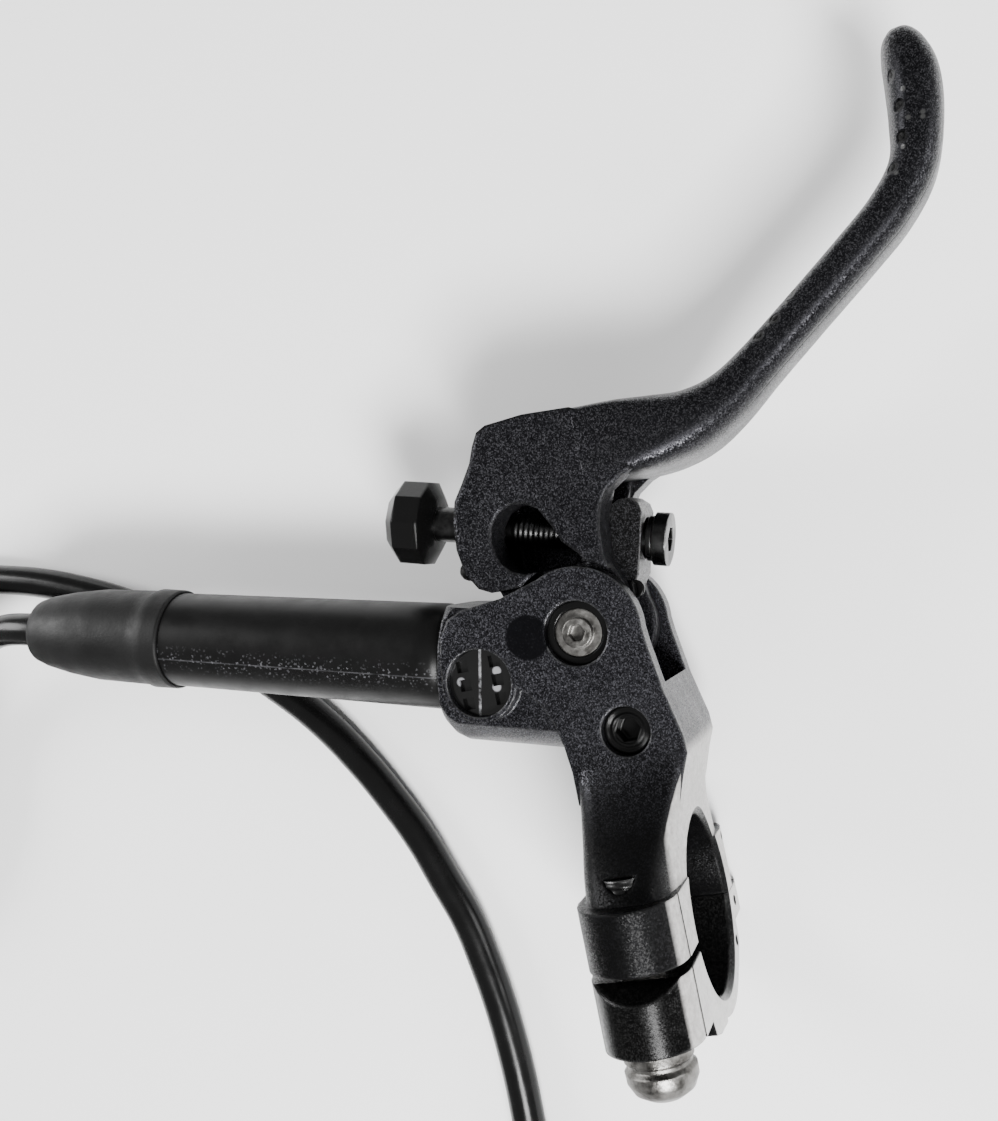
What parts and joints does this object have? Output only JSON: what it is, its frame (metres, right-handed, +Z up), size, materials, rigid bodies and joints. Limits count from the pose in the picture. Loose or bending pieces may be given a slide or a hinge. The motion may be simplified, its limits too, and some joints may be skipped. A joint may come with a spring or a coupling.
{
  "type": "hydraulic brake lever",
  "caption": "Bicycle hydraulic brake lever: split bar clamp, forked housing, master cylinder, cranked blade on a cam link, reach knob and a length of hose.",
  "frame": {"origin": "centre of the handlebar clamp's bore, mid width", "axes": "+X along the handlebar, outboard; +Y forward, away from the rider; +Z up, towards the rider"},
  "size_m": [0.2371, 0.1534, 0.0452],
  "materials": {
    "housing": "graphite metallic paint with a fine sparkle",
    "bare_aluminium": "machined",
    "blade": "satin black anodised",
    "cylinder": "satin black",
    "steel": "zinc plated steel",
    "rubber": "soft black",
    "plastic": "black moulded",
    "brass": "plain",
    "piston_metal": "turned",
    "hose": "smooth black hose jacket"
  },
  "bodies": {
    "base": {"lever_body": "housing", "clamp_cap": "housing", "clamp_bolts": "steel", "pivot_pin": "steel", "pivot_bushes": "plastic", "bleed_screws": "plastic", "window_insert": "plastic", "cylinder_tube": "cylinder", "retaining_ring": "steel", "reservoir_bladder": "rubber", "end_boot": "rubber", "hose_nut": "steel", "hose_olive": "brass", "return_spring": "steel", "hose_lead": "hose", "hose_coil": "hose", "hose_tail": "hose", "coil_ties": "plastic", "hose_end_nut": "steel", "hose_end_olive": "brass"},
    "plunger": {"piston": "piston_metal", "piston_seals": "rubber", "pushrod": "steel"},
    "link": {"cam_link": "housing", "link_screw": "steel"},
    "blade": {"lever_blade": "blade", "stop_stub": "rubber", "knob_bush": "plastic"},
    "pads": {"reach_pads": "plastic"},
    "knob": {"reach_knob": "plastic", "reach_screw": "steel", "screw_disc": "steel"}
  },
  "joints": [
    {"name": "lever_pull", "type": "hinge", "parent": "base", "child": "link", "pos_m": [-0.0018, 0.0367, 0], "axis": [0, 0, 1], "range_deg": [-55, 0], "stiffness_Nm_per_rad": 0.35, "springref_deg": 28.65},
    {"name": "piston_slide", "type": "slide", "parent": "base", "child": "plunger", "axis": [-0.9732, 0.23, 0], "range_m": [0, 0.00475], "deforming": ["return_spring"]},
    {"name": "reach_tilt", "type": "hinge", "parent": "link", "child": "blade", "pos_m": [-0.0018, 0.0367, 0], "axis": [0, 0, 1], "range_deg": [-6, 0]},
    {"name": "pads_slide", "type": "slide", "parent": "blade", "child": "pads", "axis": [0.9632, -0.2689, 0], "range_m": [-0.00127, 0]},
    {"name": "knob_turn", "type": "hinge", "parent": "pads", "child": "knob", "pos_m": [0.0084, 0.0463, 0], "axis": [0.9632, -0.2689, 0], "range_deg": [-646, 0]}
  ],
  "couplings": [
    {"joint": "piston_slide", "follows": "lever_pull", "m_per_rad": -0.0049},
    {"joint": "pads_slide", "follows": "reach_tilt", "m_per_rad": 0.01199},
    {"joint": "knob_turn", "follows": "reach_tilt", "ratio": 107.62}
  ]
}
